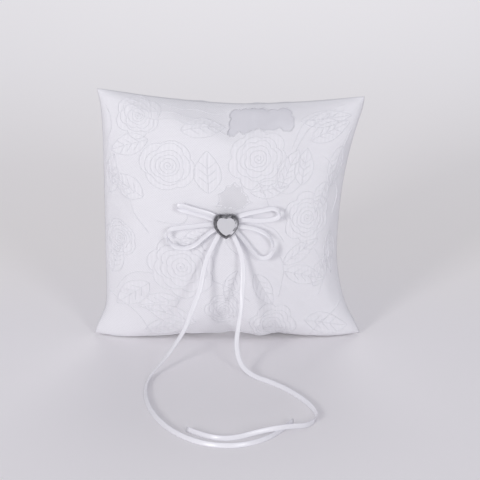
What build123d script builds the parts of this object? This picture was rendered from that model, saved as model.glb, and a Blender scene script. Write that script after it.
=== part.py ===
from build123d import *
import math
import os

# Ring bearer pillow: a white satin pillow with a lace front, a bow with two long
# ribbon tails, and a heart shaped stone at its centre. Millimetres, +Z up, the front
# faces -Y. The origin is under the middle of the object, on the surface it stands on.

# ---- driving sizes of the pillow ----
pillow_width = 199.0        # between the corner tips
pillow_height = 196.0       # floor to the higher top corner
pillow_thickness = 64.0     # crown to crown
right_tip_drop = 5.0        # the top right corner sits lower than the left one
right_foot_in = 4.0         # the bottom right corner stands this far in from the top one
left_pull = 5.0             # how far each edge is pulled in between its corners
right_pull = 15.0
top_pull = 10.0
bottom_rise = 4.0           # height of the bottom seam's middle above the floor
corner_press = 18.0         # how far the bottom corners are flattened by the floor
top_corner_taper = 0.36     # share by which a corner thins out towards its tip
foot_corner_taper = 0.15
edge_roundness = 0.45       # how blunt the pillow's side profile is

# ---- cloth and sewing ----
panel_thickness = 0.8
lace_thickness = 0.5
layer_gap = 0.3
seam_gap = 0.8              # between the two panels, where the seam thread runs
allowance_width = 9.0
allowance_thickness = 0.4
lace_hem_height = 1.5       # the lace stops this far above the floor
thread_diameter = 0.4
stitch_line = 2.0           # seam line's distance inside the sewn edge
seam_corner_share = 0.05    # each straight run of the seam stops this short of the corner
closing_length = 60.0
closing_pitch = 5.0

# ---- ribbon and bow ----
ribbon_width = 3.5
ribbon_thickness = 0.4
tab_width = 13.0
tab_height = 9.0
bow_x = -4.2
bow_z = 102.0
root_radius = 1.2
root_spread = 4.2
root_rise = 1.7
upper_left_loop = dict(angle=167.0, reach=35.0, bulb=2.4, side=-1, level=1)
lower_left_loop = dict(angle=199.0, reach=43.0, bulb=6.5, side=-1, level=-1)
upper_right_loop = dict(angle=10.0, reach=41.0, bulb=3.2, side=1, level=1)
lower_right_loop = dict(angle=-30.0, reach=42.0, bulb=7.0, side=1, level=-1)
loop_tilt = 2.0             # degrees that a loop leans back to follow the crown
loop_gap = 0.1              # between the tab and the loops sewn onto it

# ---- stone and setting ----
heart_width = 17.4
heart_height = 17.8
heart_right = [              # the right half, from notch to tip, in shares of width and height
    (0, 0.425),
    (0.12, 0.463),
    (0.27, 0.47),
    (0.4, 0.405),
    (0.48, 0.27),
    (0.5, 0.1),
    (0.455, -0.09),
    (0.33, -0.28),
    (0.17, -0.44),
    (0, -0.53),
]
table_share = 0.62
stone_thickness = 4.6
girdle_height = 1.0
back_facet_inset = 1.2      # how far the stone narrows from its girdle to its back
foil_thickness = 0.2
setting_wall = 0.6
setting_floor = 0.5
setting_rim = 1.4
stone_clearance = 0.15
shank_thickness = 0.8
shank_width = 2.2
shank_eye_radius = 0.45
tie_ring_radius = 0.9
shank_lift = 1.2            # gap between the tab and the shank's end, for its thread
tab_stitch_x = 2.2
tab_stitch_z = 3.9
stitch_length = 2.4
binding_radius = 2.3
tack_radius = 0.18          # the tack thread lies on the tab without pressing into it

# ---- routes of the two tails: from under the stone, down off the crown, along the floor ----
lie = ribbon_width / 2      # height of a tail's middle where it lies on the floor
over = lie + 2 * ribbon_width    # and where the right tail passes over the left one
arc_share = 0.45
left_tail = [
    (-8.2, -30.1, 96.2),
    (-16, -32, 83),
    (-21, -34.5, 68),
    (-23.5, -40, 54),
    (-29.5, -46, 41),
    (-34, -52.5, 29),
    (-42, -58, 17.5),
    (-51, -65, 7),
    (-60, -79, lie),
    (-62.5, -98, lie),
    (-60.5, -123, lie),
    (-53, -149, lie),
    (-40, -173, lie),
    (-21, -191, lie),
    (1, -195.5, lie),
    (20, -188, lie),
    (34, -172, lie),
    (43, -155, lie),
]
right_tail = [
    (-0.3, -30.1, 95.8),
    (6.5, -32, 83),
    (8.5, -34.5, 69),
    (7.8, -40, 55),
    (7, -46, 42),
    (4.6, -52.5, 29),
    (3, -59.5, 17),
    (6, -68, 6.5),
    (14, -77, lie),
    (30, -90, lie),
    (44, -107, lie),
    (56, -128, lie),
    (61, -148, lie),
    (54, -163, lie),
    (39, -172.5, over),
    (21, -179.5, over),
    (1, -184, lie),
    (-17, -181, lie),
    (-31, -168, lie),
]

# ---- places that follow from them ----
half_thickness = pillow_thickness / 2
lace_front = half_thickness + layer_gap + lace_thickness
tab_face = lace_front + layer_gap + ribbon_thickness
ribbon_back = tab_face + loop_gap
ribbon_front = ribbon_back + ribbon_width
setting_back = ribbon_front + layer_gap
stone_back = setting_back + setting_floor + foil_thickness + stone_clearance
stone_front = stone_back + stone_thickness
seam_y = (stone_front - half_thickness) / 2    # puts the origin under the middle
middle_z = pillow_height / 2
foot_drop = bottom_rise + corner_press       # from the bottom edge's middle to its corners

left_x = -pillow_width / 2
right_x = pillow_width / 2
corners = dict(
    top_left=(left_x, pillow_height),
    top_right=(right_x, pillow_height - right_tip_drop),
    foot_right=(right_x - right_foot_in, -corner_press),
    foot_left=(left_x, -corner_press),
)
middles = dict(
    top=(0, pillow_height - right_tip_drop / 2 - top_pull),
    right=(right_x - right_foot_in / 2 - right_pull, middle_z),
    foot=(0, bottom_rise),
    left=(left_x + left_pull, middle_z),
)
stations = (0, 0.05, 0.16, 0.34, 0.56, 0.76, 0.9, 0.98)


def front_plane(depth):
    """The upright plane that lies this far in front of the seam."""
    return Plane.XZ.offset(depth - seam_y)


def edge_share(t):
    """How much of the half width is left where the pillow is t of its half thickness deep."""
    return (1 - t**2) ** edge_roundness


def corner_share(t, taper):
    return edge_share(t) * (1 - taper * math.sqrt(t))


def towards_middle(point, share, inset):
    """A point of the edge, drawn in to a share of its distance, then in by a cloth thickness."""
    across = point[0] * share
    above = (point[1] - middle_z) * share
    if point[0]:
        across -= math.copysign(1, point[0]) * inset
    if point[1] != middle_z:
        above -= math.copysign(1, above) * inset
    return (across, middle_z + above)


def outline_points(t, inset):
    """Corner and middle points in turn, once round the outline at depth share t."""
    turn = (("top_left", "top"), ("top_right", "right"), ("foot_right", "foot"), ("foot_left", "left"))
    points = []
    for corner, middle in turn:
        taper = top_corner_taper if corner.startswith("top") else foot_corner_taper
        points.append(towards_middle(corners[corner], corner_share(t, taper), inset))
        points.append(towards_middle(middles[middle], edge_share(t), inset))
    return points


def outline(t, inset):
    """Four arcs from corner to corner."""
    points = outline_points(t, inset)
    with BuildLine() as edges:
        for i in range(0, 8, 2):
            ThreePointArc(points[i], points[i + 1], points[(i + 2) % 8])
    return edges.edges()


def half_form(inset, start, depth, side, floor=None):
    """One side of the pillow's crowned form: side 1 is the front, -1 the back."""
    with BuildPart() as form:
        for t in stations:
            with BuildSketch(front_plane(side * (start + t * (depth - start)))):
                make_face(outline(t, inset))
        loft(ruled=True)
        if floor is not None:
            split(bisect_by=Plane.XY.offset(floor), keep=Keep.TOP)
    return form.part


def frame_plate(inset, width, near, far, floor=None):
    """A flat frame that follows the seam, between two distances in front of it."""
    with BuildPart() as plate:
        with BuildSketch(front_plane(near)):
            make_face(outline(0, inset))
            make_face(outline(0, inset + width), mode=Mode.SUBTRACT)
        extrude(amount=far - near)
        if floor is not None:
            split(bisect_by=Plane.XY.offset(floor), keep=Keep.TOP)
    return plate.part


def save(part, name):
    part.label = name
    export_step(part, f"parts/{name}.step")


os.makedirs("parts", exist_ok=True)
half_seam = seam_gap / 2

# ---- outer cloth: two satin panels, each with its turned-in seam allowance ----
lining = panel_thickness
for name, side in (("front_panel", 1), ("back_panel", -1)):
    outer = half_form(0, half_seam, half_thickness, side, floor=0)
    inner = half_form(lining, 0, half_thickness - lining, side, floor=lining)
    turned_in = frame_plate(
        lining / 2, allowance_width, side * half_seam, side * (half_seam + allowance_thickness), lining / 2
    )
    with BuildPart() as panel:
        add(outer)
        add(inner, mode=Mode.SUBTRACT)
        add(turned_in)
    save(panel.part, name)

# ---- lace laid over the front panel and caught in the same seam ----
lace_start = half_seam + layer_gap
lace_outer = half_form(-layer_gap - lace_thickness, lace_start, lace_front, 1, floor=lace_hem_height)
lace_inner = half_form(-layer_gap, half_seam, half_thickness + layer_gap, 1)
with BuildPart() as lace:
    add(lace_outer)
    add(lace_inner, mode=Mode.SUBTRACT)
save(lace.part, "lace_overlay")

# ---- fibre filling, with a slot where the seam allowances lie ----
fill_inset = panel_thickness + layer_gap
slot_half = half_seam + allowance_thickness + layer_gap
slot_width = allowance_width + lining / 2 + layer_gap
slot_overrun = 1
with BuildPart() as filling:
    for side in (1, -1):
        add(half_form(fill_inset, 0, half_thickness - fill_inset, side, floor=fill_inset))
    add(frame_plate(-slot_overrun, slot_width + slot_overrun, -slot_half, slot_half), mode=Mode.SUBTRACT)
save(filling.part, "fibre_filling")

# ---- machine seam between the two allowances, one run along each edge ----
seam_points = outline_points(0, stitch_line)
seam_steps = range(round(100 * seam_corner_share), round(100 - 100 * seam_corner_share) + 1)
seam_shares = [step / 100 for step in seam_steps]
with BuildPart() as seam:
    for i in range(0, 8, 2):
        with BuildLine(front_plane(0)):
            run = ThreePointArc(seam_points[i], seam_points[i + 1], seam_points[(i + 2) % 8])
        above_floor = [share for share in seam_shares if (run @ share).Z > lining + thread_diameter]
        edge_run = run.trim(above_floor[0], above_floor[-1])
        with BuildSketch(Plane(edge_run @ 0, z_dir=edge_run % 0)):
            Circle(thread_diameter / 2)
        sweep(path=edge_run)
save(seam.part, "seam_thread")

# ---- hand-sewn closing in the bottom seam: short bars across the gap, and a knot ----
closing_bars = int(closing_length / closing_pitch) + 1
with BuildPart() as closing:
    for i in range(closing_bars):
        x = (i - (closing_bars - 1) / 2) * closing_pitch
        z = bottom_rise + lining / 2 - foot_drop * (x / left_x) ** 2
        with BuildSketch(Plane((x, seam_y, z), z_dir=(0, -1, 0))):
            Circle(thread_diameter / 2)
        extrude(amount=half_seam - layer_gap / 2, both=True)
save(closing.part, "closing_stitches")

with BuildPart() as knot:
    with Locations((closing_length / 2 + closing_pitch, seam_y, bottom_rise + lining / 2)):
        Sphere(half_seam - layer_gap / 2)
save(knot.part, "closing_knot")

# ---- the bow: a short ribbon tab that carries four folded loops ----
with BuildPart() as tab:
    with BuildSketch(front_plane(lace_front + layer_gap)):
        with Locations((bow_x, bow_z)):
            RectangleRounded(tab_width, tab_height, ribbon_thickness * 2)
    extrude(amount=ribbon_thickness)
save(tab.part, "bow_centre")

loops = dict(
    bow_loop_upper_left=upper_left_loop,
    bow_loop_lower_left=lower_left_loop,
    bow_loop_upper_right=upper_right_loop,
    bow_loop_lower_right=lower_right_loop,
)
for name, shape in loops.items():
    root = (bow_x + shape["side"] * root_spread, seam_y - ribbon_back, bow_z + shape["level"] * root_rise)
    angle = math.radians(shape["angle"])
    lean = math.radians(loop_tilt)
    along = Vector(math.cos(angle), 0, math.sin(angle))
    outward = Vector(0, -math.cos(lean), 0) + along * math.sin(lean)
    loop_plane = Plane(root, x_dir=along * math.cos(lean) + Vector(0, math.sin(lean), 0), z_dir=outward)
    far = shape["reach"] - root_spread - shape["bulb"]
    with BuildPart() as loop:
        with BuildSketch(loop_plane):
            Circle(root_radius)
            with Locations((far, 0)):
                Circle(shape["bulb"])
            make_hull()
            offset(amount=-ribbon_thickness, mode=Mode.SUBTRACT)
        extrude(amount=ribbon_width)
    save(loop.part, name)

# ---- thread bound round the gathered loop roots' ends, and stitches through the tab ----
with BuildPart() as binding:
    with BuildSketch(Plane((bow_x + binding_radius, seam_y - (ribbon_back + ribbon_front) / 2, bow_z))):
        Circle(thread_diameter / 2)
    revolve(axis=Axis((bow_x, seam_y, bow_z), (0, 1, 0)))
save(binding.part, "bow_binding_thread")

stitch_spots = [(side * tab_stitch_x, level * tab_stitch_z) for side in (-1, 1) for level in (-1, 1)]
with BuildPart() as stitches:
    for x, z in stitch_spots:
        start = (bow_x + x - stitch_length / 2, seam_y - tab_face - thread_diameter / 2, bow_z + z)
        with BuildSketch(Plane(start, z_dir=(1, 0, 0))):
            Circle(tack_radius)
        extrude(amount=stitch_length)
save(stitches.part, "tack_stitches")

# ---- heart shaped stone, its foil, and the thin metal setting with a sew-on shank ----


def heart_points(grow):
    """Corners of the heart, round from the notch; grow widens it on all sides."""
    width, height = heart_width + 2 * grow, heart_height + 2 * grow
    turn = heart_right + [(-x, z) for x, z in heart_right[-2:0:-1]]
    return [(bow_x + x * width, bow_z + z * height) for x, z in turn]


with BuildPart() as stone:
    for near, grow in ((0, -back_facet_inset), (girdle_height, 0)):
        with BuildSketch(front_plane(stone_back + near)):
            Polygon(*heart_points(grow), align=None)
    loft(ruled=True)
    with BuildSketch(front_plane(stone_back + girdle_height)):
        Polygon(*heart_points(0), align=None)
    with BuildSketch(front_plane(stone_front)):
        Polygon(*heart_points(-(1 - table_share) * heart_width / 2), align=None)
    loft(ruled=True)
save(stone.part, "gem_stone")

with BuildPart() as foil:
    with BuildSketch(front_plane(setting_back + setting_floor)):
        Polygon(*heart_points(-back_facet_inset), align=None)
    extrude(amount=foil_thickness)
save(foil.part, "gem_foil")

shank_end_y = seam_y - tab_face - shank_lift
setting_height = stone_back + girdle_height + setting_rim - setting_back
with BuildPart() as setting:
    with BuildSketch(front_plane(setting_back)):
        Polygon(*heart_points(stone_clearance + setting_wall), align=None)
    extrude(amount=setting_height - setting_rim)
    with BuildSketch(front_plane(setting_back + setting_floor)):
        Polygon(*heart_points(stone_clearance), align=None)
    extrude(amount=setting_height, mode=Mode.SUBTRACT)
    with BuildSketch(front_plane(tab_face + shank_lift)):
        with Locations((bow_x, bow_z)):
            Rectangle(shank_thickness, shank_width)
    extrude(amount=setting_back - tab_face - shank_lift)
    with BuildSketch(Plane((bow_x, shank_end_y - tie_ring_radius, bow_z), z_dir=(1, 0, 0))):
        Circle(shank_eye_radius)
    extrude(amount=shank_thickness, both=True, mode=Mode.SUBTRACT)
save(setting.part, "gem_setting")

with BuildPart() as tie:
    with BuildSketch(Plane((bow_x + tie_ring_radius, shank_end_y, bow_z), z_dir=(0, 1, 0))):
        Circle(thread_diameter / 2)
    revolve(axis=Axis((bow_x, shank_end_y, bow_z), (0, 0, 1)))
save(tie.part, "shank_tie_thread")

# ---- the two long tails of the ring ribbon, drawn as round tubes along their routes ----


def tail(points, name):
    """A tube along straight runs that are joined by the largest arcs they leave room for."""
    runs = [(Vector(b) - Vector(a)) for a, b in zip(points, points[1:])]
    radii = []
    for before, after in zip(runs, runs[1:]):
        half_turn = math.radians(before.get_angle(after)) / 2
        radii.append(arc_share * min(before.length, after.length) / math.tan(half_turn))
    with BuildPart() as tube:
        with BuildLine() as route:
            FilletPolyline(*points, radius=radii)
        with BuildSketch(Plane(points[0], z_dir=runs[0])):
            Circle(ribbon_width / 2)
        sweep(path=route.wires()[0])
    length = route.wires()[0].length
    section = math.pi * (ribbon_width / 2) ** 2
    print(name, "length", round(length, 1), "volume ratio", round(tube.part.volume / (section * length), 4))
    print(name, "radii", [round(r, 1) for r in radii])
    save(tube.part, name)


tail(left_tail, "tail_left")
tail(right_tail, "tail_right")
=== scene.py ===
# %% [markdown]
# # A ring bearer pillow, built as a sewing room builds it
# The pillow is a stuffed satin square with a lace front, a small ribbon bow and a heart
# shaped stone. The frame holds the hard facts: where each piece is and how large it is.
# This lesson adds what the eye sees: cloth, lace, ribbon, stone and light.

# %% Load the frame
import math

import bmesh
import bpy
import numpy as np
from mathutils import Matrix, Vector


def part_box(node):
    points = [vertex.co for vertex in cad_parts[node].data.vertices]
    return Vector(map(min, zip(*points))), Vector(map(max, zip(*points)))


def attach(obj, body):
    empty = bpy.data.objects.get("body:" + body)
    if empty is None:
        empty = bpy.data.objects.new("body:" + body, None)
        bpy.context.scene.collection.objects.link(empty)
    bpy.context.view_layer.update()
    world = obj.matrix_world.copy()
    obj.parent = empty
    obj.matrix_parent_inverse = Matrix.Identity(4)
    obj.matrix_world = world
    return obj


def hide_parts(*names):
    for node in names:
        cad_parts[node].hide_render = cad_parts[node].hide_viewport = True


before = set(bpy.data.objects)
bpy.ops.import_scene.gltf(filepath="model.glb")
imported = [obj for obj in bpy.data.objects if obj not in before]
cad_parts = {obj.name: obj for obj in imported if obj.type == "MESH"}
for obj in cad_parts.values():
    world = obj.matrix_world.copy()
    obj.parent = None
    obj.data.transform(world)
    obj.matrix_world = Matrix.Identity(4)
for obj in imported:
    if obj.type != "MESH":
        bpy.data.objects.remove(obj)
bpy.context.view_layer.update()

MM = 0.001
front_low, front_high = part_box("front_panel")
back_low, back_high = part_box("back_panel")
stone_low, stone_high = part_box("gem_stone")
tab_low, tab_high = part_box("bow_centre")
seam_y = (front_high.y + back_low.y) / 2
half_width = front_high.x
top_z = front_high.z
bow = (tab_low + tab_high) / 2
print("seam plane at y", round(seam_y, 4), "half width", round(half_width, 4), "height", round(top_z, 4))


def linked(name, data):
    """A new object in the scene."""
    thing = bpy.data.objects.new(name, data)
    bpy.context.scene.collection.objects.link(thing)
    return thing


# %% [markdown]
# ## The camera comes first
# The object is judged from one place before any other, so the camera is set before
# anything is modelled. A long lens from well back keeps the square looking square.

# %% Camera
camera_height = math.radians(20)  # the angle above level
camera_distance = 1.5
aim = Vector((6 * MM, 5 * MM, 77 * MM))
camera = linked("camera", bpy.data.cameras.new("camera"))
camera_way = Vector((0, -math.cos(camera_height), math.sin(camera_height)))
camera.location = aim + camera_distance * camera_way
camera.rotation_euler = (math.pi / 2 - camera_height, 0, 0)
camera.data.lens = 148.6
bpy.context.scene.camera = camera
print("camera stands at", [round(c, 3) for c in camera.location])

# %% [markdown]
# ## Small helpers
# Each mesh is made from lists of points and faces, with its place in the mesh and its
# object at the origin, so that a pattern in a material sits still on the piece.

# %% Mesh helpers


def mesh_piece(name, points, faces, smooth=True):
    """A new object from points in metres and faces as lists of point numbers."""
    mesh = bpy.data.meshes.new(name)
    mesh.from_pydata([tuple(p) for p in points], [], faces)
    mesh.polygons.foreach_set("use_smooth", [smooth] * len(mesh.polygons))
    mesh.update()
    return linked(name, mesh)


def points_of(mesh):
    """The mesh's points as an array, one row each."""
    flat = np.empty(len(mesh.vertices) * 3, np.float32)
    mesh.vertices.foreach_get("co", flat)
    return flat.reshape(-1, 3).astype(float)


def move_points(mesh, points):
    """Puts the mesh's points at new places."""
    mesh.vertices.foreach_set("co", np.asarray(points, np.float32).ravel())
    mesh.update()


def lay_flat(mesh, name, places):
    """A UV map that gives each point its place on the flat cloth."""
    layer = mesh.uv_layers.new(name=name)
    for loop in mesh.loops:
        layer.data[loop.index].uv = places[loop.vertex_index]


def baked(piece):
    """The piece's mesh with its modifiers worked out."""
    graph = bpy.context.evaluated_depsgraph_get()
    return bpy.data.meshes.new_from_object(piece.evaluated_get(graph))


def settle(piece):
    """Swaps the piece's mesh for the one its modifiers give, and drops the modifiers."""
    mesh = baked(piece)
    piece.modifiers.clear()
    piece.data = mesh
    return piece


def triangles(piece):
    return sum(len(p.vertices) - 2 for p in piece.data.polygons)


def in_place(piece, slot, *nodes):
    """The last steps that every new piece takes: its body and the nodes it stands for. The slot is not used.
    """
    if nodes:
        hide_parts(*nodes)
    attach(piece, "root")
    print(piece.name, "has", triangles(piece), "triangles")


# %% [markdown]
# ## Writing finishes as sums
# A finish is a small graph of nodes. One class wraps a socket so that a sum on sockets
# adds the Math nodes by itself, and one method makes any other node.

# %% Finish helpers


def added(tree, kind, settings, values):
    """A new node: its settings first, then the values or links of its sockets."""
    node = tree.nodes.new(kind)
    for key, value in (settings or {}).items():
        setattr(node, key, value)
    for key, value in (values or {}).items():
        value = value.socket if isinstance(value, Tone) else value
        if isinstance(value, bpy.types.NodeSocket):
            tree.links.new(value, node.inputs[key])
        else:
            node.inputs[key].default_value = value
    return node


def written(operation, turned=False):
    """An operator of Tone that adds one Math node."""
    def method(self, other):
        first, second = (other, self) if turned else (self, other)
        return self.sum_with(operation, first, second)
    return method


class Tone:
    """A shader socket that sums can be written on."""

    def __init__(self, finish, socket):
        self.finish = finish
        self.socket = socket

    def sum_with(self, operation, first, second=0.0):
        return self.finish.node("ShaderNodeMath", {"operation": operation}, {0: first, 1: second})

    __add__, __radd__ = written("ADD"), written("ADD", turned=True)
    __sub__, __rsub__ = written("SUBTRACT"), written("SUBTRACT", turned=True)
    __mul__, __rmul__ = written("MULTIPLY"), written("MULTIPLY", turned=True)
    __truediv__ = written("DIVIDE")
    most = written("MAXIMUM")

    def part(self):
        """What is left of each number after its whole part."""
        return self.sum_with("FRACT", self)

    def size(self):
        return self.sum_with("ABSOLUTE", self)

    def fade(self, start, end, low=0.0, high=1.0):
        """A soft step: low until start, high from end."""
        settings = {"interpolation_type": "SMOOTHSTEP", "clamp": True}
        values = {"Value": self, "From Min": start, "From Max": end, "To Min": low, "To Max": high}
        return self.finish.node("ShaderNodeMapRange", settings, values)


class Finish:
    """A material whose nodes are written as sums."""

    def __init__(self, name):
        self.material = bpy.data.materials.new(name)
        self.material.use_nodes = True
        self.tree = self.material.node_tree
        self.tree.nodes.clear()

    def node(self, kind, settings=None, values=None, output=0):
        """Adds a node and returns one of its outputs as a Tone."""
        node = added(self.tree, kind, settings, values)
        return Tone(self, node.outputs[output]) if node.outputs else None

    def parted(self, vector):
        """The three numbers of a vector, each as its own socket."""
        first = self.node("ShaderNodeSeparateXYZ", {}, {0: vector})
        return [Tone(self, first.socket.node.outputs[i]) for i in range(3)]

    def place(self):
        return self.node("ShaderNodeTexCoord", output="Object")

    def cloth_place(self, name):
        return self.node("ShaderNodeUVMap", {"uv_map": name})

    def painted(self, name):
        return self.node("ShaderNodeAttribute", {"attribute_name": name}, output="Fac")

    def noise(self, vector, scale, detail=2.0, stretch=(1, 1, 1)):
        stretched = self.node("ShaderNodeMapping", {}, {"Vector": vector, "Scale": stretch})
        return self.node("ShaderNodeTexNoise", {}, {"Vector": stretched, "Scale": scale, "Detail": detail})

    def blend(self, share, first, second):
        """A colour between two colours."""
        settings = {"data_type": "RGBA"}
        return self.node("ShaderNodeMix", settings, {0: share, 6: first, 7: second}, output=2)

    def bump(self, height, depth, strength=1.0):
        return self.node("ShaderNodeBump", {}, {"Height": height, "Distance": depth, "Strength": strength})

    def surface(self, **values):
        """The main shader. A socket's name is given with _ for its spaces."""
        named = {key.replace("_", " "): value for key, value in values.items()}
        shader = self.node("ShaderNodeBsdfPrincipled", {}, named)
        self.node("ShaderNodeOutputMaterial", {}, {"Surface": shader})
        return self.material


# %% [markdown]
# ## Satin, lace, ribbon and thread
# Satin is smooth because its threads float over each other: its weave is too fine to
# see, its slubs are faint long streaks, and its shine is broad. Lace is a matt net with
# closely worked motifs. Ribbon has a tight rib across it and a woven edge.

# %% Cloth finishes
CUT = 203 * MM  # the side of the flat square that the pillow is sewn from
CUT_MM = CUT / MM


def satin_finish():
    finish = Finish("satin")
    cloth = finish.cloth_place("flat_cloth")
    across, up, _ = finish.parted(cloth)
    slub = finish.noise(cloth, 190, 3, stretch=(1, 0.12, 1))
    cloud = finish.noise(cloth, 5, 2)
    float_thread = ((across * CUT_MM * 4 + (up * CUT_MM * 0.8).part() * 0.5).part() - 0.5).size() * 2
    height = slub * 0.7 + float_thread * 0.3
    return finish.surface(
        Base_Color=finish.blend(cloud, (0.74, 0.735, 0.775, 1), (0.78, 0.775, 0.815, 1)),
        Roughness=0.36 + slub * 0.12,
        Normal=finish.bump(height, 0.05 * MM, 0.5),
        Sheen_Weight=0.25,
        Sheen_Roughness=0.4,
        Specular_IOR_Level=0.55,
    )


def lace_finish():
    finish = Finish("lace")
    cloth = finish.cloth_place("flat_cloth")
    across, up, _ = finish.parted(cloth)
    across, up = across * CUT_MM, up * CUT_MM
    motif = finish.painted("motif").fade(0.35, 0.65)
    bare = finish.painted("bare").fade(0.4, 0.6)
    net_pitch, net_thread = 1.15, 0.3

    def threads(run, pitch, width):
        """1 on thin lines a pitch apart."""
        return ((run / pitch).part() - 0.5).size().fade(width, width + 0.1, 1, 0)

    leaning_right = threads(across + up * 0.6, net_pitch, net_thread)
    leaning_left = threads(across - up * 0.6, net_pitch, net_thread)
    net = leaning_right.most(leaning_left)
    worked = threads(up + across * 0.12, 0.9, 0.3).most(threads(across, 3.1, 0.12))
    open_net = net * 0.22 + 0.76
    solid_work = worked * 0.06 + 0.94
    cover = open_net * (1 - motif) + solid_work * motif
    height = net * (1 - motif) * 0.6 + worked * motif
    cloud = finish.noise(cloth, 9, 2)
    return finish.surface(
        Base_Color=finish.blend(cloud, (0.86, 0.855, 0.885, 1), (0.89, 0.885, 0.915, 1)),
        Roughness=0.78 - worked * motif * 0.12,
        Alpha=cover * (1 - bare),
        Normal=finish.bump(height, 0.12 * MM, 0.6),
        Sheen_Weight=0.15,
    )


def ribbon_finish():
    finish = Finish("ribbon")
    strip = finish.cloth_place("length_and_width")
    along, side, _ = finish.parted(strip)
    rib = ((along / (0.42 * MM)).part() - 0.5).size() * 2
    edge = side.size().fade(0.40, 0.44)
    streak = finish.noise(strip, 900, 2, stretch=(0.05, 1, 1))
    return finish.surface(
        Base_Color=finish.blend(edge, (0.89, 0.885, 0.92, 1), (0.80, 0.795, 0.84, 1)),
        Roughness=0.22 + edge * 0.25 + streak * 0.1,
        Normal=finish.bump(rib * 0.5 + streak * 0.5, 0.04 * MM, 0.4),
        Sheen_Weight=0.2,
        Specular_IOR_Level=0.6,
    )


def thread_finish():
    finish = Finish("thread")
    place = finish.place()
    x, y, z = finish.parted(place)
    twist = ((x + y + z) / (0.35 * MM)).part()
    return finish.surface(
        Base_Color=finish.blend(twist, (0.80, 0.80, 0.83, 1), (0.9, 0.9, 0.93, 1)),
        Roughness=0.5 + twist * 0.15,
        Normal=finish.bump(twist, 0.06 * MM, 0.6),
    )


satin, lace, ribbon, thread = satin_finish(), lace_finish(), ribbon_finish(), thread_finish()
print("cloth finishes:", [m.name for m in (satin, lace, ribbon, thread)])

# %% [markdown]
# ## The two ribbon tails
# A tail is one length of narrow double-faced satin ribbon. Its line is a smooth spline
# through a listed route: out from under the stone, down off the crown, and along the
# floor in a loose curve. A second spline with the same number of points says which way
# the ribbon's width points, so the twist is as smooth as the line.

# %% Ribbon helpers


def spline_samples(points, steps=12):
    """Points read from a smooth spline that has the given points as its control points."""
    curve = bpy.data.curves.new("route", "CURVE")
    curve.dimensions = "3D"
    curve.resolution_u = steps
    line = curve.splines.new("NURBS")
    line.points.add(len(points) - 1)
    for knot, point in zip(line.points, points):
        knot.co = (*point, 1)
    line.order_u = 3
    line.use_endpoint_u = True
    holder = linked("route", curve)
    bpy.context.view_layer.update()
    mesh = baked(holder)
    samples = points_of(mesh)
    bpy.data.objects.remove(holder)
    bpy.data.meshes.remove(mesh)
    return samples


def unit(rows):
    """Each row at a length of one."""
    return rows / np.maximum(np.linalg.norm(rows, axis=1, keepdims=True), 1e-9)


RIBBON_WIDTH = 3.5 * MM
RIBBON_THICKNESS = 0.28 * MM
RIBBON_HOLLOW = 0.9  # how far the middle of the strip is bowed, in thicknesses
ON_EDGE = RIBBON_WIDTH / 2  # height of the middle of a strip that stands on its edge
half_profile = [
    (-0.5, -0.3), (-0.44, -0.5), (-0.25, -0.42), (0, -0.42), (0.25, -0.42), (0.44, -0.5), (0.5, -0.3),
]
RIBBON_PROFILE = [(x, y + RIBBON_HOLLOW * (1 - 4 * x * x)) for x, y in half_profile]
RIBBON_PROFILE += [(-x, -y + RIBBON_HOLLOW * (1 - 4 * x * x)) for x, y in half_profile]


def ribbon_strip(name, route, widths, steps=12):
    """A flat closed strip along the route. widths gives the way the ribbon's width points.

    The route is that of a strip on its edge, so where it is down on the floor, a strip that
    leans sinks until its lower edge meets the floor.
    """
    line = spline_samples(route, steps)
    across = spline_samples(widths, steps)
    ahead = unit(np.gradient(line, axis=0))
    across = unit(across - ahead * (across * ahead).sum(1, keepdims=True))
    on_floor = np.clip((1.8 * ON_EDGE - line[:, 2]) / (0.8 * ON_EDGE), 0, 1)
    line[:, 2] -= on_floor * ON_EDGE * (0.93 - np.abs(across[:, 2]))
    face = np.cross(ahead, across)
    points = []
    for centre, w, f in zip(line, across, face):
        points += [centre + w * x * RIBBON_WIDTH + f * y * RIBBON_THICKNESS for x, y in RIBBON_PROFILE]
    ring = len(RIBBON_PROFILE)
    faces = [list(range(ring)), [len(points) - 1 - i for i in range(ring)]]
    for row in range(len(line) - 1):
        for i in range(ring):
            a, b = row * ring + i, row * ring + (i + 1) % ring
            faces.append([a, a + ring, b + ring, b])
    piece = mesh_piece(name, points, faces)
    span = np.concatenate([[0], np.cumsum(np.linalg.norm(np.diff(line, axis=0), axis=1))])
    side = np.tile([x for x, _ in RIBBON_PROFILE], len(line))
    lay_flat(piece.data, "length_and_width", np.column_stack([np.repeat(span, ring), side]))
    piece.data.materials.append(ribbon)
    return piece, line, span[-1]


# %% Tails: their routes in mm
lie = ON_EDGE / MM
over = 5.8  # the middle of the right tail where it crosses over the left one
left_tail_route = [
    (-8.2, -30.1, 96.2), (-16, -32, 83), (-21, -34.5, 68), (-23.5, -40, 54),
    (-29.5, -46, 41), (-34, -52.5, 29), (-42, -58, 17.5), (-51, -65, 7),
    (-60, -79, lie), (-62.5, -98, lie), (-60.5, -123, lie), (-53, -149, lie),
    (-40, -173, lie), (-21, -191, lie), (1, -195.5, lie), (20, -188, lie),
    (34, -172, lie), (43, -155, lie),
]
right_tail_route = [
    (-0.3, -30.1, 95.8), (6.5, -32, 83), (8.5, -34.5, 69), (7.8, -40, 55),
    (7, -46, 42), (4.6, -52.5, 29), (3, -59.5, 17), (6, -68, 6.5),
    (14, -77, lie), (30, -90, lie), (44, -107, lie), (56, -128, lie),
    (61, -148, lie), (54, -163, lie), (39, -172.5, over), (21, -179.5, over),
    (1, -184, lie), (-17, -181, lie), (-31, -168, lie),
]
left_tail_widths = [(1, 0, -0.2)] * 3 + [(1, 0, -0.1)] * 2 + [(0.9, -0.3, 0.1), (0.8, -0.6, 0.2)]
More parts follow.
